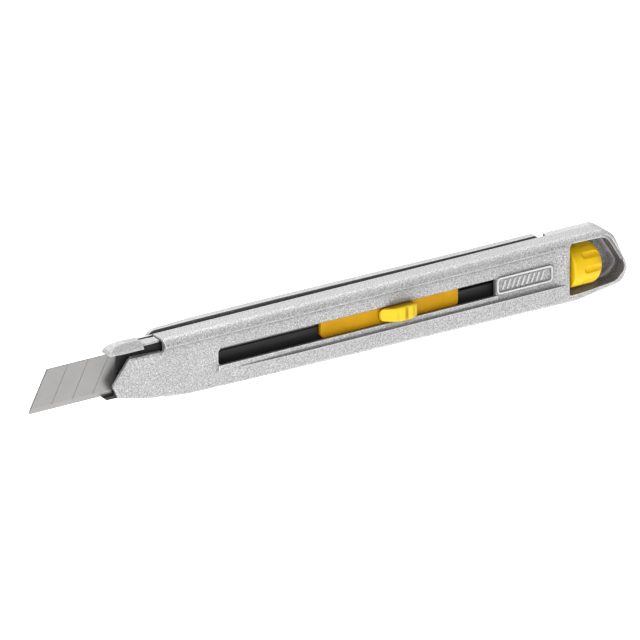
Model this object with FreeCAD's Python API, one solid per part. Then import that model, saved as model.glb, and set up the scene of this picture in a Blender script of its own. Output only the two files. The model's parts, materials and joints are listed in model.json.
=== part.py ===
import FreeCAD, Part
import math
import os

# Snap-off knife with a 9 mm blade, a die-cast body and a rear locking knob.
# Every piece is drawn in millimetres with X measured from the front of the nose, the blade
# pointing to -X, the thumb slot on -Y and the spine up (+Z).  When it is written out, a piece is
# moved so that the origin lies at the middle of the flat belly that the knife stands on.

V = FreeCAD.Vector

# ---- driving dimensions ---------------------------------------------------------------------
BELLY_FRONT, BELLY_REAR = 38.0, 115.5       # the flat of the belly
BELLY_DROP = 0.82                           # it lies this much lower at its rear end
ORIGIN_X = 75.0                             # the origin sits on the belly's flat
ORIGIN_Z = -BELLY_DROP * (ORIGIN_X - BELLY_FRONT) / (BELLY_REAR - BELLY_FRONT)

BODY_TOP = 13.4
NEAR_FACE = -3.35                           # crest of the shoulders on the slot side
PANEL_FACE = -2.65                          # recessed side panel
PANEL_REAR = 113.0
PANEL_LOW = 3.5
CROWN_Z, ROLL_R = 12.05, 0.6                # rolled lower edge of the crown above the panel
CHEEK_REAR, CHEEK_TOP = 46.0, 3.9           # where the panel has run out over the cheek
TAIL_CORNER_X, TAIL_CORNER_R = 124.2, 4.0   # top rear corner
TAIL_END_X, TAIL_END_Z = 128.4, 4.2         # hindmost corner
WALL_INNER = -1.75
PARTING = 1.7                               # rear edge of the casing
COVER_GAP = 0.05
BACK_FACE = 3.3
SHOULDER_R = 2.05                           # long top edges
EDGE_R = 0.85                               # all the other outer edges
RIDGE_FRONT = 111.0                         # the tail's top is flat right to the back face
BAR_FRONT = -6.0                            # ahead of the nose, before it is cut to shape

BLADE_WIDTH, BLADE_THICK, BLADE_LENGTH = 9.0, 0.38, 80.0
BLADE_Z = 7.75                              # middle of the blade's width
BLADE_LOW = BLADE_Z - BLADE_WIDTH / 2
BLADE_TOP = BLADE_Z + BLADE_WIDTH / 2
BLADE_TIP = -18.2
SEGMENT_PITCH = 5.0
SEGMENT_ANGLE = math.radians(62.8)
EDGE_BEVEL = 1.1
SCORE_WIDTH, SCORE_DEPTH = 0.14, 0.06

SLOT_FRONT, SLOT_REAR = 26.6, 95.4
SLOT_LOW, SLOT_TOP = 4.8, 8.45

CAVITY_LOW, CAVITY_TOP = 2.75, 12.75
CAVITY_REAR = 111.3                         # front face of the tail bulkhead
WINDOW_FRONT = 113.4                        # rear face of the tail bulkhead
POCKET_FLOOR = 0.75

CHANNEL_OUT, CHANNEL_IN = 0.75, 0.35        # half widths outside and inside the blade channel
CHANNEL_LOW, CHANNEL_TOP = 2.85, 12.65
CHANNEL_REAR = 110.2
NOTCH_Z, NOTCH_R = 9.9, 0.5

CARRIER_FRONT, CARRIER_REAR = 52.5, 86.6
CARRIER_NEAR, CARRIER_FAR = -1.65, -0.85
CARRIER_LOW, CARRIER_TOP = 4.6, 11.6
HOOK_X, HOOK_R = 57.5, 0.6
BUTTON_X, BUTTON_LENGTH = 70.85, 8.5
BUTTON_TOP = -4.75
BUTTON_LOW, BUTTON_HIGH = 5.35, 8.3

KNOB_Z, KNOB_R = 6.1, 4.5
KNOB_FRONT, KNOB_REAR = 114.2, 121.8
FLUTE_COUNT, FLUTE_R = 9, 0.9
FLUTE_PHASE = math.radians(17.3)            # as the knob rests
SPINDLE_R, SPINDLE_FIT = 1.1, 0.05
SPINDLE_FRONT = 106.8

CLIP_FRONT, CLIP_REAR, CLIP_THICK = 13.1, 110.0, 1.5
CLIP_LOW, CLIP_TOP = 2.4, 13.15
CLIP_BOW = 0.75                             # its widest gap to the body
PAD_FRONT, PAD_REAR, PAD_HEIGHT = 13.8, 23.0, 0.5

SCREW_R, SCREW_HEAD_R, SCREW_HEAD = 0.7, 1.15, 0.6
SCREW_X = (44.0, 84.0, 104.5)
PIN_X, PIN_R = (31.0, 64.0), 0.6
BELLY_HOLE_Z = 1.45
FAR = 60.0                                  # larger than the part, for cutting tools


# ---- small helpers --------------------------------------------------------------------------
def box(x0, x1, y0, y1, z0, z1):
    return Part.makeBox(x1 - x0, y1 - y0, z1 - z0, V(x0, y0, z0))


def cylinder(radius, length, start, axis):
    return Part.makeCylinder(radius, length, start, axis)


def rounded_wire(corners, to_point):
    """Closed wire through corners (u, v, radius), each rounded by a tangent arc."""
    starts, ends, middles = [], [], []
    count = len(corners)
    for i, (u, v, radius) in enumerate(corners):
        here = V(u, v, 0)
        back = V(corners[i - 1][0], corners[i - 1][1], 0) - here
        ahead = V(corners[(i + 1) % count][0], corners[(i + 1) % count][1], 0) - here
        back.normalize()
        ahead.normalize()
        half = back.getAngle(ahead) / 2
        if radius <= 0:
            starts.append(here)
            ends.append(here)
            middles.append(None)
            continue
        reach = radius / math.tan(half)
        bisector = back + ahead
        bisector.normalize()
        centre = here + bisector * (radius / math.sin(half))
        starts.append(here + back * reach)
        ends.append(here + ahead * reach)
        middles.append(centre - bisector * radius)
    edges = []
    for i in range(count):
        if middles[i] is not None:
            arc = Part.Arc(to_point(starts[i]), to_point(middles[i]), to_point(ends[i]))
            edges.append(arc.toShape())
        following = (i + 1) % count
        if (ends[i] - starts[following]).Length > 1e-6:
            line = Part.LineSegment(to_point(ends[i]), to_point(starts[following]))
            edges.append(line.toShape())
    return Part.Wire(edges)


def side_prism(corners, y0, y1):
    """Outline in X and Z, given depth along Y."""
    wire = rounded_wire(corners, lambda p: V(p.x, y0, p.y))
    return Part.Face(wire).extrude(V(0, y1 - y0, 0))


def plan_prism(corners, z0, z1):
    """Outline in X and Y, given height along Z."""
    wire = rounded_wire(corners, lambda p: V(p.x, p.y, z0))
    return Part.Face(wire).extrude(V(0, 0, z1 - z0))


def end_prism(corners, x0, x1):
    """Outline in Y and Z, given length along X."""
    wire = rounded_wire(corners, lambda p: V(x0, p.x, p.y))
    return Part.Face(wire).extrude(V(x1 - x0, 0, 0))


def edges_at_y(shape, y, test=None):
    found = []
    for edge in shape.Edges:
        bounds = edge.BoundBox
        if abs(bounds.YMin - y) < 1e-4 and abs(bounds.YMax - y) < 1e-4:
            if test is None or test(edge.CenterOfMass):
                found.append(edge)
    return found


# ---- casing ---------------------------------------------------------------------------------
def tail_corners(top):
    """The rounded tail end of the body, from the belly round to the top edge."""
    return [
        (BELLY_REAR, -BELLY_DROP, 14.0),
        (127.0, 1.0, 2.4),
        (TAIL_END_X, TAIL_END_Z, 2.4),
        (TAIL_CORNER_X, top, TAIL_CORNER_R),
    ]


def casing_outline():
    cheek = [
        (13.3, BODY_TOP, 0.5),
        (13.5, 10.7, 0.3),
        (5.0, 11.1, 0.7),
        (0.95, 5.75, 0.8),
        (2.5, 2.85, 0.7),
        (9.7, 1.25, 0),
        (20.0, 0.15, 0),
        (BELLY_FRONT, 0.0, 0),
    ]
    return cheek + tail_corners(BODY_TOP)


def body_bar():
    """The whole body before its nose is shaped and it is split into casing and cover."""
    outline = [(BAR_FRONT, BODY_TOP, 0), (BAR_FRONT, 0.5, 0), (BELLY_FRONT, 0.0, 80.0)]
    bar = side_prism(outline + tail_corners(BODY_TOP), NEAR_FACE, BACK_FACE)
    edges = []
    for face in (NEAR_FACE, BACK_FACE):
        edges += edges_at_y(bar, face, lambda middle: middle.x > BAR_FRONT + 1)
    bar = bar.makeFillet(EDGE_R, edges)
    section = [
        (NEAR_FACE, -2.0, 0), (BACK_FACE, -2.0, 0),
        (BACK_FACE, BODY_TOP, SHOULDER_R), (NEAR_FACE, BODY_TOP, SHOULDER_R),
    ]
    return bar.common(end_prism(section, BAR_FRONT, FAR * 3))


def panel_recess():
    """The sunk side panel: its floor rises gently to the tail and runs out over the cheek."""
    outside = NEAR_FACE - 2
    panel = box(BAR_FRONT, PANEL_REAR, outside, PANEL_FACE, PANEL_LOW, CROWN_Z)
    roll = cylinder(ROLL_R, FAR * 3, V(BAR_FRONT - 1, PANEL_FACE - 0.01, CROWN_Z), V(1, 0, 0))
    panel = panel.cut(roll)
    ramp = [
        (BAR_FRONT, outside, 0), (BAR_FRONT, PANEL_FACE + 1, 0), (PANEL_REAR - 3.6, PANEL_FACE + 1, 0),
        (PANEL_REAR - 3.6, PANEL_FACE, 0), (PANEL_REAR - 0.2, NEAR_FACE - 0.01, 0),
        (PANEL_REAR - 0.2, outside, 0),
    ]
    panel = panel.common(plan_prism(ramp, 0, 14))
    cheek = [
        (BAR_FRONT, outside, 0), (BAR_FRONT, PANEL_FACE, 0), (SLOT_FRONT, PANEL_FACE, 0),
        (CHEEK_REAR, NEAR_FACE - 0.01, 0), (CHEEK_REAR, outside, 0),
    ]
    return panel.fuse(plan_prism(cheek, -3, CHEEK_TOP))


def cheek_mask():
    """Everything behind the cheek's face, its front and top edges chamfered, plus the rest."""
    mask = side_prism(casing_outline(), PANEL_FACE, 10)
    mask = mask.makeChamfer(0.3, edges_at_y(mask, PANEL_FACE, lambda m: m.x < 12))
    return mask.fuse(box(13.0, FAR * 3, -10, 10, -10, 30))


def slot_cutter():
    outline = [
        (SLOT_FRONT, SLOT_LOW, 0.8),
        (SLOT_REAR, SLOT_LOW, 0.1),
        (SLOT_REAR, SLOT_TOP, 0.1),
        (SLOT_FRONT, SLOT_TOP, 0.8),
    ]
    slot = side_prism(outline, NEAR_FACE - 2, WALL_INNER + 1)
    lip = [(PANEL_FACE - 1, SLOT_TOP + 1.3, 0), (PANEL_FACE + 0.5, SLOT_TOP - 0.3, 0),
           (PANEL_FACE - 1, SLOT_TOP - 0.3, 0)]
    relief = box(SLOT_FRONT + 0.6, SLOT_REAR, PANEL_FACE + 0.35, WALL_INNER + 1,
                 SLOT_LOW - 0.8, SLOT_LOW + 0.1)
    return slot.fuse([end_prism(lip, SLOT_FRONT + 0.4, SLOT_REAR), relief])


def slot_lip():
    """The raised lip along the lower edge of the slot, its underside sloping."""
    crest = PANEL_FACE - 0.26
    section = [(PANEL_FACE + 0.2, 3.3, 0), (PANEL_FACE - 0.12, 3.3, 0), (PANEL_FACE - 0.12, 3.6, 0),
               (crest, 3.95, 0), (crest, SLOT_LOW, 0), (PANEL_FACE + 0.2, SLOT_LOW, 0)]
    return end_prism(section, SLOT_FRONT, SLOT_REAR + 0.4)


def nose_ledge():
    """A ledge on the inside of the cheek, along its top edge."""
    ledge = side_prism(casing_outline(), WALL_INNER - 0.2, -1.0)
    return ledge.common(box(5.8, 13.2, -5, 5, 9.2, 11.4))


def window_outline(inset=0.0):
    return [
        (WINDOW_FRONT, BLADE_Z + 4.5 - inset, 0.8),
        (123.0 - inset, BLADE_Z + 4.3 - inset, 3.2),
        (127.8 - inset, BLADE_Z - 3.4, 1.8),
        (125.2 - inset, BLADE_Z - 6.0 + inset, 2.6),
        (117.5, BLADE_Z - 6.75 + inset, 5.0),
        (WINDOW_FRONT, BLADE_Z - 6.9 + inset, 0.6),
    ]


def window_step():
    """The shallow step round the top and the rear of the tail window."""
    outline = [
        (WINDOW_FRONT + 0.6, BLADE_Z + 5.2, 0.6),
        (123.2, BLADE_Z + 5.0, 3.6),
        (128.0, BLADE_Z - 3.0, 1.6),
        (WINDOW_FRONT + 0.6, BLADE_Z - 4.0, 0),
    ]
    return side_prism(outline, NEAR_FACE - 2, NEAR_FACE + 0.6)


def window_bead():
    """A thin bead round the floor of the tail window."""
    outer = side_prism(window_outline(0.05), POCKET_FLOOR - 0.45, POCKET_FLOOR + 0.1)
    inner = side_prism(window_outline(0.4), POCKET_FLOOR - 1, POCKET_FLOOR + 1)
    return outer.cut([inner, box(WINDOW_FRONT - 1, 119, -5, 5, -5, 20)])


def knob_clearance():
    """Room for the knob to turn, right through the body."""
    return cylinder(KNOB_R + 0.15, KNOB_REAR - WINDOW_FRONT + 0.2,
                    V(WINDOW_FRONT, 0, KNOB_Z), V(1, 0, 0))


def tail_ridge(y0, y1):
    """The flat top of the tail, square to the back face, with a step at its front end."""
    share = 0.7                             # how far it reaches down the tail's rear edge
    outline = [
        (RIDGE_FRONT, BODY_TOP, 0.2),
        (TAIL_CORNER_X, BODY_TOP, TAIL_CORNER_R),
        (TAIL_CORNER_X + share * (TAIL_END_X - TAIL_CORNER_X),
         BODY_TOP + share * (TAIL_END_Z - BODY_TOP), 0),
        (RIDGE_FRONT, 11.0, 0),
    ]
    return side_prism(outline, y0, y1)


def badge():
    """A plain raised frame with slanting ribs, behind the slot."""
    x0, x1, z0, z1, rim, height = 95.5, 109.5, 5.0, 8.75, 0.4, 0.35
    outer = [(x0, z0, 0.9), (x1, z0, 0.9), (x1, z1, 0.9), (x0, z1, 0.9)]
    inner = [(x0 + rim, z0 + rim, 0.6), (x1 - rim, z0 + rim, 0.6),
             (x1 - rim, z1 - rim, 0.6), (x0 + rim, z1 - rim, 0.6)]
    base = PANEL_FACE + 0.1
    frame = side_prism(outer, PANEL_FACE - height, base)
    frame = frame.cut(side_prism(inner, PANEL_FACE - height - 1, base + 1))
    ribs = []
    lean, width = 0.8, 0.4
    for i in range(9):
        x = x0 + 1.3 + i * 1.2
        rib = [(x, z0 + 0.85, 0), (x + width, z0 + 0.85, 0),
               (x + width + lean, z1 - 0.85, 0), (x + lean, z1 - 0.85, 0)]
        ribs.append(side_prism(rib, PANEL_FACE - 0.2, base))
    return frame, ribs


def belly_holes(radius, y0, y1, places):
    return [cylinder(radius, y1 - y0, V(x, y0, BELLY_HOLE_Z), V(0, 1, 0)) for x in places]


def make_body_casing():
    near_half = box(-10, FAR * 3, -10, PARTING, -10, 30)
    casing = body_bar().common(near_half).common(side_prism(casing_outline(), -10, 10))
    casing = casing.cut(panel_recess())
    casing = casing.common(cheek_mask())
    cavity = box(-3, CAVITY_REAR, WALL_INNER, PARTING + 1, CAVITY_LOW, CAVITY_TOP)
    frame, ribs = badge()
    casing = casing.fuse([slot_lip(), frame, tail_ridge(0.5, PARTING)] + ribs)
    nose_notch = box(8.6, 13.3, NEAR_FACE - 1, -2.1, -1, 1.05)
    under_cap = box(-3, 13.4, WALL_INNER - 0.01, PARTING + 1, 1.5, 20)
    window = side_prism(window_outline(), NEAR_FACE - 2, POCKET_FLOOR)
    bearing = cylinder(SPINDLE_R + SPINDLE_FIT, 6, V(CAVITY_REAR - 1, 0, KNOB_Z), V(1, 0, 0))
    loading = box(CAVITY_REAR - 1, WINDOW_FRONT + 0.1, 0, PARTING + 1,
                  KNOB_Z - SPINDLE_R - SPINDLE_FIT, KNOB_Z + SPINDLE_R + SPINDLE_FIT)
    casing = casing.cut([cavity, slot_cutter(), nose_notch, under_cap, window, window_step()])
    casing = casing.fuse([window_bead(), nose_ledge()])
    tools = [knob_clearance(), bearing, loading]
    tools += belly_holes(SCREW_R, PARTING - 3.2, PARTING + 1, SCREW_X)
    tools += belly_holes(PIN_R, PARTING - 1.6, PARTING + 1, PIN_X)
    return casing.cut(tools).removeSplitter()


# ---- rear cover -----------------------------------------------------------------------------
def cover_outline():
    nose = [
        (13.3, BODY_TOP, 0),
        (13.2, 13.15, 0),
        (8.0, 13.15, 0.3),
        (6.4, 12.0, 1.0),
        (2.2, 9.0, 1.0),
        (1.3, 2.55, 0.3),
        (2.6, 1.2, 0.3),
        (20.0, 0.15, 0),
        (BELLY_FRONT, 0.0, 0),
    ]
    return nose + tail_corners(BODY_TOP)


def make_back_cover():
    front = PARTING + COVER_GAP
    far_half = box(-10, FAR * 3, front, 10, -10, 30)
    cover = body_bar().common(far_half).common(side_prism(cover_outline(), -10, 10))
    pad = side_prism([(PAD_FRONT, 3.4, 1.2), (PAD_REAR, 3.4, 1.2), (PAD_REAR, 11.8, 1.2),
                      (PAD_FRONT, 11.8, 1.2)], BACK_FACE - 0.2, BACK_FACE + PAD_HEIGHT)
    pad = pad.makeChamfer(0.25, edges_at_y(pad, BACK_FACE + PAD_HEIGHT))
    ribs = [box(20, 100, 1.0, front + 0.2, z, z + 1.0) for z in (4.0, 10.6)]
    cover = cover.fuse([pad, tail_ridge(front, BACK_FACE - 0.1)] + ribs)
    tools = [knob_clearance()]
    tools += belly_holes(SCREW_R + 0.05, 0, BACK_FACE + 1, SCREW_X)
    tools += belly_holes(SCREW_HEAD_R + 0.05, BACK_FACE - SCREW_HEAD - 0.1, BACK_FACE + 1, SCREW_X)
    tools += belly_holes(PIN_R, front - 1, front + 0.9, PIN_X)
    tools += [cylinder(0.7, 3, V(x, 1.2, z), V(0, 1, 0)) for x, z in clip_rivet_places()]
    return cover.cut(tools).removeSplitter()


def make_cover_screws():
    screws = []
    for x in SCREW_X:
        shank = cylinder(SCREW_R, 4.0, V(x, PARTING - 3.1, BELLY_HOLE_Z), V(0, 1, 0))
        head = cylinder(SCREW_HEAD_R, SCREW_HEAD,
                        V(x, BACK_FACE - SCREW_HEAD - 0.1, BELLY_HOLE_Z), V(0, 1, 0))
        screw = shank.fuse(head)
        for turn in (0, 90):
            arm = box(x - 0.75, x + 0.75, BACK_FACE - 0.4, BACK_FACE,
                      BELLY_HOLE_Z - 0.15, BELLY_HOLE_Z + 0.15)
            arm.rotate(V(x, 0, BELLY_HOLE_Z), V(0, 1, 0), turn)
            screw = screw.cut(arm)
        screws.append(screw)
    return Part.makeCompound(screws)


def make_locating_pins():
    return Part.makeCompound(belly_holes(PIN_R, PARTING - 1.5, PARTING + 0.9, PIN_X))


# ---- pocket clip ----------------------------------------------------------------------------
def clip_rivet_places():
    return [(x, z) for x in (99.5, 106.5) for z in (4.6, 10.4)]


def clip_plan():
    """The clip seen from above: fixed flat at its root, bowed out, its tip turned in."""
    root, crest = BACK_FACE, BACK_FACE + CLIP_BOW
    tip = BACK_FACE + PAD_HEIGHT + 0.02
    return [
        (CLIP_FRONT, tip + 0.15, 0.15),
        (CLIP_FRONT + 2.6, tip, 1.5),
        (CLIP_FRONT + 12.0, crest, 20.0),
        (CLIP_FRONT + 32.0, crest, 60.0),
        (94.0, root, 20.0),
        (CLIP_REAR, root, 0),
        (CLIP_REAR, root + CLIP_THICK, 0.4),
        (94.0, root + CLIP_THICK, 20.0),
        (CLIP_FRONT + 32.0, crest + CLIP_THICK, 60.0),
        (CLIP_FRONT + 12.0, crest + CLIP_THICK, 20.0),
        (CLIP_FRONT + 2.6, tip + 1.1, 3.0),
        (CLIP_FRONT, tip + 0.8, 0.15),
    ]


def make_pocket_clip():
    clip = plan_prism(clip_plan(), CLIP_LOW, CLIP_TOP)
    outline = [
        (CLIP_FRONT - 0.1, CLIP_LOW, 3.4),
        (CLIP_REAR, CLIP_LOW, 1.2),
        (CLIP_REAR, CLIP_TOP, 1.2),
        (CLIP_FRONT - 0.1, CLIP_TOP, 2.4),
    ]
    clip = clip.common(side_prism(outline, BACK_FACE - 1, BACK_FACE + 6))
    holes = [cylinder(0.7, FAR, V(x, 0, z), V(0, 1, 0)) for x, z in clip_rivet_places()]
    return clip.cut(holes)


def make_clip_rivets():
    rivets = []
    for x, z in clip_rivet_places():
        outside = BACK_FACE + CLIP_THICK
        shank = cylinder(0.7, outside - PARTING - COVER_GAP - 0.1,
                         V(x, PARTING + COVER_GAP + 0.1, z), V(0, 1, 0))
        head = Part.makeCone(1.25, 0.9, 0.4, V(x, outside, z), V(0, 1, 0))
        rivets.append(shank.fuse(head))
    return Part.makeCompound(rivets)


# ---- blade frame ----------------------------------------------------------------------------
NOSE_RIVETS = ((5.0, 10.4), (9.0, 10.4))


def make_blade_channel():
    """A black rail folded round the blade, with a slot for the hook and a row of lock holes."""
    outline = [(2.2, CHANNEL_LOW, 0), (CHANNEL_REAR, CHANNEL_LOW, 0),
               (CHANNEL_REAR, CHANNEL_TOP, 0), (3.4, CHANNEL_TOP, 0)]
    chin = [(-0.3, 3.1, 0), (0.5, 2.4, 0), (12.0, 2.4, 0), (12.0, 3.1, 0)]
    channel = side_prism(outline, -CHANNEL_OUT, CHANNEL_OUT)
    channel = channel.fuse(side_prism(chin, -CHANNEL_OUT, CHANNEL_OUT))
    bore = box(-5, CHANNEL_REAR + 5, -CHANNEL_IN, CHANNEL_IN, BLADE_LOW - 0.05, BLADE_TOP + 0.05)
    hook_slot = side_prism([(14.0, BLADE_Z - 0.75, 0.7), (104.0, BLADE_Z - 0.75, 0.7),
                            (104.0, BLADE_Z + 0.75, 0.7), (14.0, BLADE_Z + 0.75, 0.7)],
                           -CHANNEL_OUT - 1, -CHANNEL_IN + 0.1)
    tools = [bore, hook_slot]
    for i in range(18):
        x = 16.0 + i * SEGMENT_PITCH
        tools.append(cylinder(NOTCH_R, 1.0, V(x, -CHANNEL_OUT - 0.5, NOTCH_Z), V(0, 1, 0)))
    for x, z in NOSE_RIVETS:
        tools.append(cylinder(0.6, 1, V(x, CHANNEL_IN - 0.1, z), V(0, 1, 0)))
    for x in (107.4, 109.2):
        tools.append(cylinder(0.5, 3, V(x, -1.5, 11.2), V(0, 1, 0)))
    seat = box(105.9, CHANNEL_REAR + 1, -1.5, 1.5, 2.0, 10.0)
    return channel.cut(tools + [seat])


def make_nose_guide():
    """The cap over the blade's spine, its rear tongue, and the leg that is riveted to the rail."""
    section = [
        (-2.15, 11.7, 0.1), (-2.15, 12.1, 0.1), (-1.9, 12.25, 0.1), (-1.85, 12.85, 0.2),
        (-1.0, 14.2, 0.3), (0.6, 14.35, 0.3), (1.3, 13.5, 0.3), (1.6, 11.7, 0),
    ]
    side = [
        (0.6, 12.2, 0.15), (1.1, 13.2, 0.3), (2.2, 13.95, 0.5), (4.2, 14.35, 1.5),
        (8.6, 14.0, 0.3), (9.0, 11.85, 0.1), (2.2, 12.35, 0.1),
    ]
    plan = [(0.0, -0.8, 0), (2.2, -2.2, 0.2), (9.3, -2.2, 0), (9.3, 2.0, 0), (0.0, 2.0, 0)]
    cap = end_prism(section, -1, 10).common(side_prism(side, -4, 4))
    cap = cap.common(plan_prism(plan, 11, 15))
    tongue = box(8.0, 13.0, -1.15, 0.9, CHANNEL_TOP, CHANNEL_TOP + 0.5)
    leg = side_prism([(2.6, 8.6, 0.8), (12.1, 8.6, 0.8), (12.1, 12.9, 0), (2.6, 12.9, 0)],
                     CHANNEL_OUT, 1.6)
    blade_way = box(-2, 9, -CHANNEL_IN, CHANNEL_IN, 8, BLADE_TOP + 0.1)
    rail_way = box(2.2, 13, -CHANNEL_OUT - 0.01, CHANNEL_OUT, 8, CHANNEL_TOP)
    near_way = box(2.0, 9, WALL_INNER - 1.2, -CHANNEL_OUT, 8, 12.25)
    holes = [cylinder(0.6, 2, V(x, 0.2, z), V(0, 1, 0)) for x, z in NOSE_RIVETS]
    guide = cap.fuse([tongue, leg])
    return guide.cut([blade_way, rail_way, near_way] + holes)


def make_nose_rivets():
    rivets = [cylinder(0.6, 1.62 - CHANNEL_IN, V(x, CHANNEL_IN, z), V(0, 1, 0))
              for x, z in NOSE_RIVETS]
    return Part.makeCompound(rivets)


def make_frame_nut():
    """Threaded block that closes the rear of the rail; the knob's spindle screws into it."""
    block = box(106.0, CHANNEL_REAR, -1.45, 1.45, 3.0, 8.6)
    tongue = box(106.4, CHANNEL_REAR, -CHANNEL_IN, CHANNEL_IN, 8.0, 12.25)
    hole = cylinder(SPINDLE_R + SPINDLE_FIT, 6, V(106.5, 0, KNOB_Z), V(1, 0, 0))
    pins = [cylinder(0.5, 3, V(x, -1.5, 11.2), V(0, 1, 0)) for x in (107.4, 109.2)]
    return block.fuse(tongue).cut([hole] + pins)


def make_nut_rivets():
    return Part.makeCompound([cylinder(0.5, 2 * CHANNEL_OUT + 0.3, V(x, -CHANNEL_OUT - 0.15, 11.2),
                                       V(0, 1, 0)) for x in (107.4, 109.2)])


# ---- blade and slider -----------------------------------------------------------------------
def make_blade():
    slant = BLADE_WIDTH / math.tan(SEGMENT_ANGLE)
    half = BLADE_THICK / 2
    rear = BLADE_TIP + BLADE_LENGTH
    outline = [(BLADE_TIP, BLADE_LOW, 0), (rear - slant, BLADE_LOW, 0), (rear, BLADE_TOP, 0),
               (BLADE_TIP + slant, BLADE_TOP, 0)]
    blade = side_prism(outline, -half, half)
    section = [(-0.01, BLADE_LOW - 0.02, 0), (0.01, BLADE_LOW - 0.02, 0),
               (half, BLADE_LOW + EDGE_BEVEL, 0), (half, BLADE_TOP + 1, 0),
               (-half, BLADE_TOP + 1, 0), (-half, BLADE_LOW + EDGE_BEVEL, 0)]
    blade = blade.common(end_prism(section, BLADE_TIP - 5, rear + 5))
    tools = [cylinder(0.9, 2, V(HOOK_X, -1, BLADE_Z), V(0, 1, 0))]
    direction = V(math.cos(SEGMENT_ANGLE), 0, math.sin(SEGMENT_ANGLE))
    for i in range(1, 15):
        foot = V(BLADE_TIP + i * SEGMENT_PITCH, 0, BLADE_LOW)
        low = foot + direction * (EDGE_BEVEL / math.sin(SEGMENT_ANGLE))
        groove = Part.makeBox(12, SCORE_DEPTH * 2, SCORE_WIDTH,
                              V(0, -SCORE_DEPTH, -SCORE_WIDTH / 2))
        groove.rotate(V(0, 0, 0), V(0, 1, 0), -math.degrees(SEGMENT_ANGLE))
        groove.translate(V(low.x, -half, low.z))
        tools.append(groove)
    return blade.cut(tools)


def make_slider_carrier():
    outline = [(CARRIER_FRONT, CARRIER_LOW, 1.0), (CARRIER_REAR, CARRIER_LOW, 0.6),
               (CARRIER_REAR, CARRIER_TOP, 1.0), (CARRIER_FRONT, CARRIER_TOP, 1.0)]
    carrier = side_prism(outline, CARRIER_NEAR, CARRIER_FAR)
    shank = box(BUTTON_X - 2.6, BUTTON_X + 2.6, -4, 0, 5.85, 7.55)
    spring_pocket = box(76.5, 85.5, -4, 0, 9.2, 10.6)
    hook = cylinder(HOOK_R, 3, V(HOOK_X, CARRIER_NEAR + 0.35, BLADE_Z), V(0, 1, 0))
    return carrier.cut([shank, spring_pocket, hook])


def make_blade_hook_pin():
    return cylinder(HOOK_R, 1.4, V(HOOK_X, CARRIER_NEAR + 0.4, BLADE_Z), V(0, 1, 0))


def make_lock_spring():
    """A leaf spring lying in the slider's pocket, with a nib over the rail's lock holes."""
    leaf = box(76.6, 85.4, CARRIER_FAR - 0.45, CARRIER_FAR - 0.2, 9.3, 10.5)
    nib = cylinder(0.4, 0.25, V(81.0, CARRIER_FAR - 0.2, NOTCH_Z), V(0, 1, 0))
    return leaf.fuse(nib)


def make_thumb_button():
    """A bow-shaped button with upright ribs, standing out through the slot."""
    front, rear = BUTTON_X - BUTTON_LENGTH / 2, BUTTON_X + BUTTON_LENGTH / 2
    base = -2.15
    head = plan_prism([
        (front, base, 0), (front + 0.2, base - 0.35, 0.3), (front + 3.2, BUTTON_TOP, 5.0),
        (rear - 1.6, BUTTON_TOP + 0.05, 1.6), (rear, BUTTON_TOP + 1.0, 0.6), (rear, base, 0),
    ], BUTTON_LOW, BUTTON_HIGH)
    rim = [e for e in head.Edges if e.BoundBox.ZLength < 1e-4 and e.CenterOfMass.y < -2.9]
    head = head.makeChamfer(0.2, rim)
    side = side_prism([
        (front, BUTTON_LOW, 1.2), (rear, BUTTON_LOW, 0.8), (rear, BUTTON_HIGH, 0.9),
        (front, BUTTON_HIGH, 1.2),
    ], base - 3, base + 1)
    head = head.common(side)
    shank = box(BUTTON_X - 2.5, BUTTON_X + 2.5, base - 0.1, -1.3, 5.95, 7.45)
    grooves = [cylinder(0.35, 6, V(BUTTON_X + dx, BUTTON_TOP, 4), V(0, 0, 1))
               for dx in (-1.0, 1.0, 2.9)]
    return head.fuse(shank).cut(grooves)


# ---- locking knob ---------------------------------------------------------------------------
def make_lock_knob():
    """Round knob with flutes that die out towards its front, and a domed rear end."""
    length = KNOB_REAR - KNOB_FRONT
    dome = 2.3
    profile = [(KNOB_FRONT, 0, 0), (KNOB_REAR, 0, 0), (KNOB_REAR, KNOB_R, dome),
               (KNOB_FRONT, KNOB_R, 0.35)]
    wire = rounded_wire(profile, lambda p: V(p.x, 0, KNOB_Z + p.y))
    centre = V(KNOB_FRONT, 0, KNOB_Z)
    knob = Part.Face(wire).revolve(centre, V(1, 0, 0), 360)
    knob.rotate(centre, V(1, 0, 0), math.degrees(FLUTE_PHASE) - 30)   # seam between flutes
    tools = []
    for i in range(FLUTE_COUNT):
        angle = FLUTE_PHASE + 2 * math.pi * i / FLUTE_COUNT
        reach = KNOB_R + 0.3
        y, z = reach * math.cos(angle), KNOB_Z + reach * math.sin(angle)
        start = KNOB_FRONT + 3.1
        flute = cylinder(FLUTE_R, length, V(start, y, z), V(1, 0, 0))
        round_start = Part.makeSphere(FLUTE_R, V(start, y, z))
        tools.append(flute.fuse(round_start).removeSplitter())
    tools.append(cylinder(SPINDLE_R, length - 1.5, V(KNOB_FRONT, 0, KNOB_Z), V(1, 0, 0)))
    tools.append(cylinder(0.5, FAR, V(KNOB_FRONT + 1.5, 0, KNOB_Z - FAR / 2), V(0, 0, 1)))
    return knob.cut(tools)


def make_knob_spindle():
    end = KNOB_REAR - 1.6
    rod = cylinder(SPINDLE_R, end - SPINDLE_FRONT, V(SPINDLE_FRONT, 0, KNOB_Z), V(1, 0, 0))
    collar = cylinder(1.5, 0.6, V(CAVITY_REAR - 0.7, 0, KNOB_Z), V(1, 0, 0))
    cross = cylinder(0.5, FAR, V(KNOB_FRONT + 1.5, 0, KNOB_Z - FAR / 2), V(0, 0, 1))
    return rod.fuse(collar).cut(cross)


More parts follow.
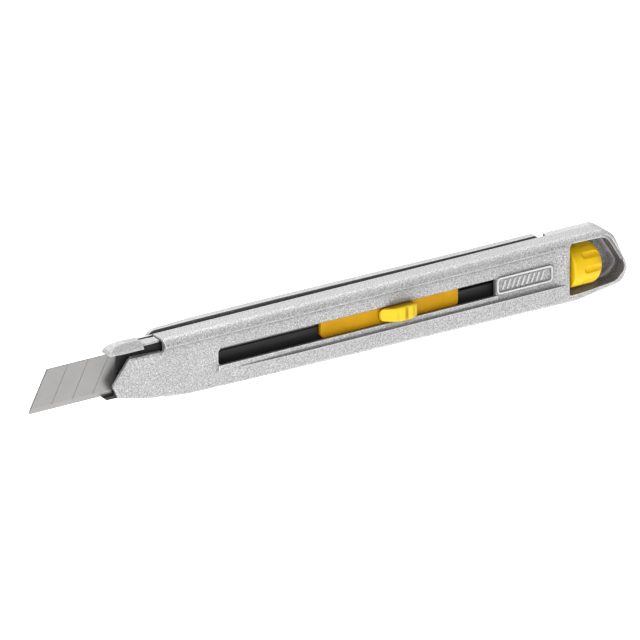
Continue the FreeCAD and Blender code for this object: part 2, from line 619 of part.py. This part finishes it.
def make_knob_washer():
    disc = cylinder(2.6, 0.6, V(WINDOW_FRONT + 0.08, 0, KNOB_Z), V(1, 0, 0))
    return disc.cut(cylinder(SPINDLE_R, 2, V(WINDOW_FRONT - 0.5, 0, KNOB_Z), V(1, 0, 0)))


def make_knob_pin():
    return cylinder(0.5, 2 * KNOB_R - 0.6, V(KNOB_FRONT + 1.5, 0, KNOB_Z - KNOB_R + 0.3),
                    V(0, 0, 1))


# ---- assembly -------------------------------------------------------------------------------
NODES = {
    "body_casing": make_body_casing,
    "back_cover": make_back_cover,
    "cover_screws": make_cover_screws,
    "locating_pins": make_locating_pins,
    "pocket_clip": make_pocket_clip,
    "clip_rivets": make_clip_rivets,
    "blade_channel": make_blade_channel,
    "nose_guide": make_nose_guide,
    "nose_rivets": make_nose_rivets,
    "frame_nut": make_frame_nut,
    "nut_rivets": make_nut_rivets,
    "blade": make_blade,
    "slider_carrier": make_slider_carrier,
    "blade_hook_pin": make_blade_hook_pin,
    "lock_spring": make_lock_spring,
    "thumb_button": make_thumb_button,
    "lock_knob": make_lock_knob,
    "knob_spindle": make_knob_spindle,
    "knob_washer": make_knob_washer,
    "knob_pin": make_knob_pin,
}

os.makedirs("parts", exist_ok=True)
for node, make in NODES.items():
    shape = make()
    shape.translate(V(-ORIGIN_X, 0, -ORIGIN_Z))
    print(node, "valid", shape.isValid(), "solids", len(shape.Solids),
          "volume", round(shape.Volume, 2))
    shape.exportStep(os.path.join("parts", node + ".step"))
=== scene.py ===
import json
import math
import bpy
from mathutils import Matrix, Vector

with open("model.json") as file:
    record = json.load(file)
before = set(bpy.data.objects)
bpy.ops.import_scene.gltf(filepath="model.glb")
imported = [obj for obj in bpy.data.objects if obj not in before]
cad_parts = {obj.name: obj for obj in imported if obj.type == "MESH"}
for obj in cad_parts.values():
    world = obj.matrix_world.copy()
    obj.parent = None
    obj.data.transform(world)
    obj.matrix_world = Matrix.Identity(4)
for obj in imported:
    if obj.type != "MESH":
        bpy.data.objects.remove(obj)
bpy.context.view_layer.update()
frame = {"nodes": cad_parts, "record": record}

MM = 0.001                                  # the scene is in metres
nodes = frame["nodes"]


# ---- camera and light ---------------------------------------------------------------------
CAMERA_AZIMUTH, CAMERA_ELEVATION = -33.3, 22.5      # degrees
CAMERA_DISTANCE = 4.0
CAMERA_LENS = 1088.0
CAMERA_NEAR, CAMERA_FAR = 0.01, 20.0
AIM = Vector((-21.42 * MM, 0.26 * MM, 8.25 * MM))  # middle of the view

WORLD_STRENGTH = 0.20
FLOOR_Z, FLOOR_HALF = -0.12, 3.0                    # so low that no shadow shows by the knife
FLOOR_GLOW = 0.5
LIGHT_TARGET = (0.0, 0.0, 0.005)                    # inside the body; every light points here
LIGHTS = (                                          # name, place, size, power in watts
    ("top_box", (-0.1, 0.30, 0.90), (1.2, 0.35), 12.5),
    ("left_box", (-1.1, -0.5, 0.25), (0.4, 0.4), 2.2),
    ("front_box", (-0.3, -0.9, 0.55), (0.8, 0.5), 3.6),
)


def towards_camera():
    azimuth, elevation = math.radians(CAMERA_AZIMUTH), math.radians(CAMERA_ELEVATION)
    return Vector((math.sin(azimuth) * math.cos(elevation),
                   -math.cos(azimuth) * math.cos(elevation), math.sin(elevation)))


def make_camera():
    data = bpy.data.cameras.new("camera")
    data.lens = CAMERA_LENS
    data.clip_start, data.clip_end = CAMERA_NEAR, CAMERA_FAR
    camera = bpy.data.objects.new("camera", data)
    bpy.context.collection.objects.link(camera)
    back = towards_camera()
    camera.location = AIM + back * CAMERA_DISTANCE
    camera.rotation_mode = "QUATERNION"
    camera.rotation_quaternion = (-back).to_track_quat("-Z", "Y")
    bpy.context.scene.camera = camera


def make_light(name, place, size, power):
    data = bpy.data.lights.new(name, "AREA")
    data.shape = "RECTANGLE"
    data.size, data.size_y = size
    data.energy = power
    light = bpy.data.objects.new(name, data)
    bpy.context.collection.objects.link(light)
    light.location = place
    direction = Vector(LIGHT_TARGET) - Vector(place)
    light.rotation_mode = "QUATERNION"
    light.rotation_quaternion = direction.to_track_quat("-Z", "Y")


def make_world():
    world = bpy.data.worlds.new("studio")
    world.use_nodes = True
    background = world.node_tree.nodes["Background"]
    background.inputs["Color"].default_value = (1.0, 1.0, 1.0, 1.0)
    background.inputs["Strength"].default_value = WORLD_STRENGTH
    bpy.context.scene.world = world


def make_floor():
    mesh = bpy.data.meshes.new("floor")
    corners = [(-FLOOR_HALF, -FLOOR_HALF, FLOOR_Z), (FLOOR_HALF, -FLOOR_HALF, FLOOR_Z),
               (FLOOR_HALF, FLOOR_HALF, FLOOR_Z), (-FLOOR_HALF, FLOOR_HALF, FLOOR_Z)]
    mesh.from_pydata(corners, [], [(0, 1, 2, 3)])
    floor = bpy.data.objects.new("floor", mesh)
    bpy.context.collection.objects.link(floor)
    material = bpy.data.materials.new("pale_floor")
    material.use_nodes = True
    shader = material.node_tree.nodes["Principled BSDF"]
    shader.inputs["Base Color"].default_value = (0.9, 0.9, 0.9, 1.0)
    shader.inputs["Roughness"].default_value = 0.9
    shader.inputs["Emission Color"].default_value = (1.0, 1.0, 1.0, 1.0)
    shader.inputs["Emission Strength"].default_value = FLOOR_GLOW
    mesh.materials.append(material)


# ---- material tools -----------------------------------------------------------------------
WHITE, BLACK = (1.0, 1.0, 1.0), (0.0, 0.0, 0.0)
BEVEL_SAMPLES, SHADE_SAMPLES = 6, 8
POCKET_REACH_MM = 8.0                       # how far deep_shade looks for a pocket's walls
GROOVE_REACH_MM = 1.6                       # what is shut in this closely is a groove
HIGHLIGHT_AND_BARE_METAL = (0.97, 0.97, 0.97)             # painted edge highlight, and where the coat is rubbed through
NOISE_LOW, NOISE_HIGH = 0.3, 0.7            # the range that noise mostly keeps to


def grey(value):
    return (value, value, value)


class Recipe:
    """A material's node tree, with short calls for the nodes that the recipes share."""

    def __init__(self, name, roughness=0.5, metallic=0.0):
        self.material = bpy.data.materials.new(name)
        self.material.use_nodes = True
        self.tree = self.material.node_tree
        self.shader = self.tree.nodes["Principled BSDF"]
        self.shader.inputs["Roughness"].default_value = roughness
        self.shader.inputs["Metallic"].default_value = metallic
        self.coords = self.node("ShaderNodeTexCoord").outputs["Object"]

    def node(self, kind, **settings):
        made = self.tree.nodes.new(kind)
        for key, value in settings.items():
            setattr(made, key, value)
        return made

    def link(self, source, target):
        self.tree.links.new(source, target)

    def noise(self, size_mm, detail=2.0, rough=0.5, stretch=(1, 1, 1)):
        """Noise whose blotches are about size_mm across."""
        mapping = self.node("ShaderNodeMapping")
        mapping.inputs["Scale"].default_value = stretch
        self.link(self.coords, mapping.inputs["Vector"])
        noise = self.node("ShaderNodeTexNoise")
        noise.inputs["Scale"].default_value = 1.0 / (size_mm * MM)
        noise.inputs["Detail"].default_value = detail
        noise.inputs["Roughness"].default_value = rough
        self.link(mapping.outputs["Vector"], noise.inputs["Vector"])
        return noise.outputs["Fac"]

    def ramp(self, value, stops):
        """Colours a value by (place, colour) stops."""
        ramp = self.node("ShaderNodeValToRGB")
        elements = ramp.color_ramp.elements
        while len(elements) < len(stops):
            elements.new(0.5)
        for element, (place, colour) in zip(elements, stops):
            element.position = place
            element.color = (*colour, 1.0)
        self.link(value, ramp.inputs["Fac"])
        return ramp.outputs["Color"]

    def mix(self, factor, first, second, blend="MIX"):
        """Mixes two colours, each a tuple or a node's output."""
        mix = self.node("ShaderNodeMix", data_type="RGBA", blend_type=blend)
        if isinstance(factor, float):
            mix.inputs["Factor"].default_value = factor
        else:
            self.link(factor, mix.inputs["Factor"])
        for socket, value in ((mix.inputs["A"], first), (mix.inputs["B"], second)):
            if isinstance(value, tuple):
                socket.default_value = (*value, 1.0)
            else:
                self.link(value, socket)
        return mix.outputs["Result"]

    def between(self, value, low, high, to_low, to_high):
        """Stretches the range low to high onto to_low to to_high."""
        scale = self.node("ShaderNodeMapRange")
        scale.inputs["From Min"].default_value = low
        scale.inputs["From Max"].default_value = high
        scale.inputs["To Min"].default_value = to_low
        scale.inputs["To Max"].default_value = to_high
        self.link(value, scale.inputs["Value"])
        return scale.outputs["Result"]

    def bump(self, heights, rounding_mm=0.0):
        """Stacks (value, strength, depth in mm) bumps, over an edge rounding."""
        normal = None
        if rounding_mm:
            bevel = self.node("ShaderNodeBevel", samples=BEVEL_SAMPLES)
            bevel.inputs["Radius"].default_value = rounding_mm * MM
            normal = bevel.outputs["Normal"]
        for value, strength, depth in heights:
            bump = self.node("ShaderNodeBump")
            bump.inputs["Strength"].default_value = strength
            bump.inputs["Distance"].default_value = depth * MM
            self.link(value, bump.inputs["Height"])
            if normal is not None:
                self.link(normal, bump.inputs["Normal"])
            normal = bump.outputs["Normal"]
        self.link(normal, self.shader.inputs["Normal"])

    def openness(self, reach_mm):
        """1 where nothing stands within reach of the surface, less in corners and grooves."""
        shut_in = self.node("ShaderNodeAmbientOcclusion", samples=SHADE_SAMPLES)
        shut_in.inputs["Distance"].default_value = reach_mm * MM
        return shut_in.outputs["AO"]

    def paint_shade_in_crevices(self, value, reach_mm, darkest):
        """Darkens a colour where the surface is closely shut in: painted shade in corners,
        creases and gaps.
        """
        halfway = tuple(0.45 + 0.40 * part for part in darkest)
        crevice_shade = self.ramp(self.openness(reach_mm),
                          [(0.30, darkest), (0.72, halfway), (0.96, WHITE)])
        return self.mix(1.0, value, crevice_shade, "MULTIPLY")

    def deep_shade(self, value, darkest):
        """Darkens the floors and walls of wide pockets, but not narrow grooves."""
        shaded = self.paint_shade_in_crevices(value, POCKET_REACH_MM, darkest)
        wide = self.between(self.openness(GROOVE_REACH_MM), 0.55, 0.85, 0.0, 1.0)
        return self.mix(wide, value, shaded)

    def edge_highlight_and_wear(self, value, reach_mm, amount):
        """Brightens the outer edges, found by looking inwards: a painted highlight, and the coat
        rubbed through there.
        """
        inward = self.node("ShaderNodeAmbientOcclusion", samples=SHADE_SAMPLES, inside=True,
                           only_local=True)
        inward.inputs["Distance"].default_value = reach_mm * MM
        # This mask carries both the painted edge highlight and the rubbed coat.
        rubbed = self.ramp(inward.outputs["AO"], [(0.58, grey(amount)), (0.88, BLACK)])
        return self.mix(rubbed, value, HIGHLIGHT_AND_BARE_METAL)

    def colour(self, value):
        self.link(value, self.shader.inputs["Base Color"])

    def rough(self, value):
        self.link(value, self.shader.inputs["Roughness"])


def cast_silver(name, light=0.61, rounding=0.25, reach_mm=2.5, crevice_shade=0.12, wear_and_highlight=0.6, deep=0.0,
                contrast=1.0):
    """Silver powder coat on a die casting: sandy grains and glints over slow blotches.

    light is its brightness; reach_mm and the crevice darkness say how far from a corner the
    painted shade reaches and how dark it is (0 is black); the edge amount paints a highlight on
    the outer edges and shows the coat rubbed through there; deep paints shade into wide pockets.
    """
    recipe = Recipe(name, roughness=0.5, metallic=0.25)
    grains = recipe.noise(0.30, detail=3.0, rough=0.7)
    flakes = recipe.noise(0.16, detail=1.0)
    blotches = recipe.noise(9.0, detail=2.0)
    dark = grey(light * (1 - 0.54 * contrast))
    pale = grey(min(1.0, light * (1 + 0.45 * contrast)))
    base = recipe.ramp(grains, [(NOISE_LOW, dark), (0.5, (light, light * 0.99, light)),
                                (NOISE_HIGH, pale)])
    glints = recipe.ramp(flakes, [(0.60, BLACK), (0.74, WHITE)])
    base = recipe.mix(0.36 * contrast, base, glints, "ADD")
    shade = recipe.ramp(blotches, [(NOISE_LOW, (0.94, 0.94, 0.95)), (NOISE_HIGH, WHITE)])
    base = recipe.mix(1.0, base, shade, "MULTIPLY")
    # Painted highlight on the outer edges, where the coat is also rubbed through.
    base = recipe.edge_highlight_and_wear(base, 0.4, wear_and_highlight)
    if deep:
        base = recipe.deep_shade(base, grey(deep))
    # Painted shade: the colour darkens where corners, creases and gaps close in on the surface.
    recipe.colour(recipe.paint_shade_in_crevices(base, reach_mm, (crevice_shade, crevice_shade, crevice_shade * 1.04)))
    recipe.rough(recipe.between(grains, NOISE_LOW, NOISE_HIGH, 0.62, 0.36))
    recipe.bump([(grains, 0.55, 0.05), (flakes, 0.3, 0.02)], rounding)
    return recipe.material


def ground_steel(name, light):
    """The blade: fine grinding lines along it and faint stains."""
    recipe = Recipe(name, roughness=0.35, metallic=0.85)
    lines = recipe.noise(0.05, detail=2.0, stretch=(0.02, 1.0, 1.0))
    film = recipe.noise(6.0, detail=3.0)
    warm = (light * 1.02, light, light * 0.965)
    cool = (light * 0.93, light * 0.925, light * 0.92)
    stains = recipe.between(film, NOISE_LOW, NOISE_HIGH, 0.0, 1.0)
    recipe.colour(recipe.mix(stains, warm, cool))
    recipe.rough(recipe.between(lines, NOISE_LOW, NOISE_HIGH, 0.30, 0.46))
    recipe.bump([(lines, 0.12, 0.01)])
    return recipe.material


def plain_metal(name, light):
    """Turned or stamped steel of the small parts."""
    recipe = Recipe(name, roughness=0.35, metallic=1.0)
    scratches = recipe.noise(0.12, detail=3.0, stretch=(0.2, 1.0, 1.0))
    recipe.colour(recipe.ramp(scratches, [(NOISE_LOW, grey(light * 0.82)),
                                          (NOISE_HIGH, grey(light * 1.08))]))
    recipe.rough(recipe.between(scratches, NOISE_LOW, NOISE_HIGH, 0.28, 0.48))
    recipe.bump([(scratches, 0.2, 0.02)], 0.06)
    return recipe.material


def black_coat(name):
    """Black finish of the rail and its nut, rubbed along its length."""
    recipe = Recipe(name, roughness=0.55)
    grain = recipe.noise(0.25, detail=3.0)
    rub = recipe.noise(1.2, detail=2.0, stretch=(0.08, 1.0, 1.0))
    base = recipe.ramp(grain, [(NOISE_LOW, grey(0.010)), (NOISE_HIGH, (0.022, 0.022, 0.023))])
    worn = recipe.ramp(rub, [(0.62, BLACK), (0.8, grey(0.02))])
    recipe.colour(recipe.mix(1.0, base, worn, "ADD"))
    recipe.rough(recipe.between(grain, NOISE_LOW, NOISE_HIGH, 0.45, 0.7))
    recipe.bump([(grain, 0.25, 0.02)], 0.06)
    return recipe.material


def yellow_plastic(name, deep, bright, shine=0.3, shade=None):
    """Moulded plastic with a fine spark-eroded texture, and flow marks from deep to bright."""
    recipe = Recipe(name, roughness=0.42)
    recipe.shader.inputs["Specular IOR Level"].default_value = shine
    recipe.shader.inputs["Subsurface Weight"].default_value = 0.08
    recipe.shader.inputs["Subsurface Radius"].default_value = (0.0012, 0.0007, 0.0002)
    flow = recipe.noise(5.0, detail=2.0)
    fine = recipe.noise(0.16, detail=3.0)
    marks = recipe.between(flow, NOISE_LOW, NOISE_HIGH, 0.0, 1.0)
    base = recipe.mix(marks, deep, bright)
    if shade:
        # Painted shade where the part is shut in, darkest at the shade colour.
        base = recipe.paint_shade_in_crevices(base, 2.5, shade)
    recipe.colour(base)
    recipe.rough(recipe.between(fine, NOISE_LOW, NOISE_HIGH, 0.36, 0.52))
    recipe.bump([(fine, 0.35, 0.012)], 0.15)
    return recipe.material


# ---- build --------------------------------------------------------------------------------
make_camera()
make_world()
make_floor()
for light in LIGHTS:
    make_light(*light)

FINISHES = {
    "cast_body": cast_silver("cast_body_silver", light=0.52, reach_mm=1.6, crevice_shade=0.64, deep=0.34,
                             wear_and_highlight=0.75, contrast=1.2),
    "clip_coat": cast_silver("clip_silver", light=0.53),
    "nose_cast": cast_silver("nose_silver", light=0.54, rounding=0.1, reach_mm=1.2, crevice_shade=0.3,
                             wear_and_highlight=0.3, contrast=0.7),
    "screw_steel": plain_metal("screw_zinc", 0.50),
    "rivet_steel": plain_metal("rivet_satin", 0.62),
    "plain_steel": plain_metal("turned_steel", 0.50),
    "spring_steel": plain_metal("tempered_steel", 0.35),
    "blade_steel": ground_steel("ground_blade", 0.36),
    "black_rail": black_coat("rail_black"),
    "black_nut": black_coat("nut_black"),
    # The slider's yellow is darker and more orange than the button's: painted shade of the slot
    # it sits in.
    "yellow_plastic": yellow_plastic("slider_yellow_painted_shade", (0.64, 0.32, 0.003), (0.78, 0.42, 0.005),
                                    shine=0.12),
    # The button gets painted shade where the slot's walls close in on it.
    "button_plastic": yellow_plastic("button_yellow", (0.93, 0.66, 0.012), (0.97, 0.74, 0.02),
                                     shade=(0.35, 0.15, 0.05)),
    "knob_plastic": yellow_plastic("knob_yellow", (0.98, 0.58, 0.006), (1.0, 0.66, 0.010)),
}

# The cover shares the casing's slot, but has darker painted shade reaching further, for the
# shadowed gap behind the clip.
COVER_FINISH = cast_silver("cast_cover_silver", reach_mm=4.0)

for entry in frame["record"]["subparts"]:
    piece = nodes[entry["node"]]
    finish = COVER_FINISH if entry["node"] == "back_cover" else FINISHES[entry["material_slot"]]
    for place in range(len(piece.material_slots)):
        piece.material_slots[place].material = finish

bpy.context.scene.view_settings.view_transform = "Standard"
bpy.context.scene.view_settings.look = "None"
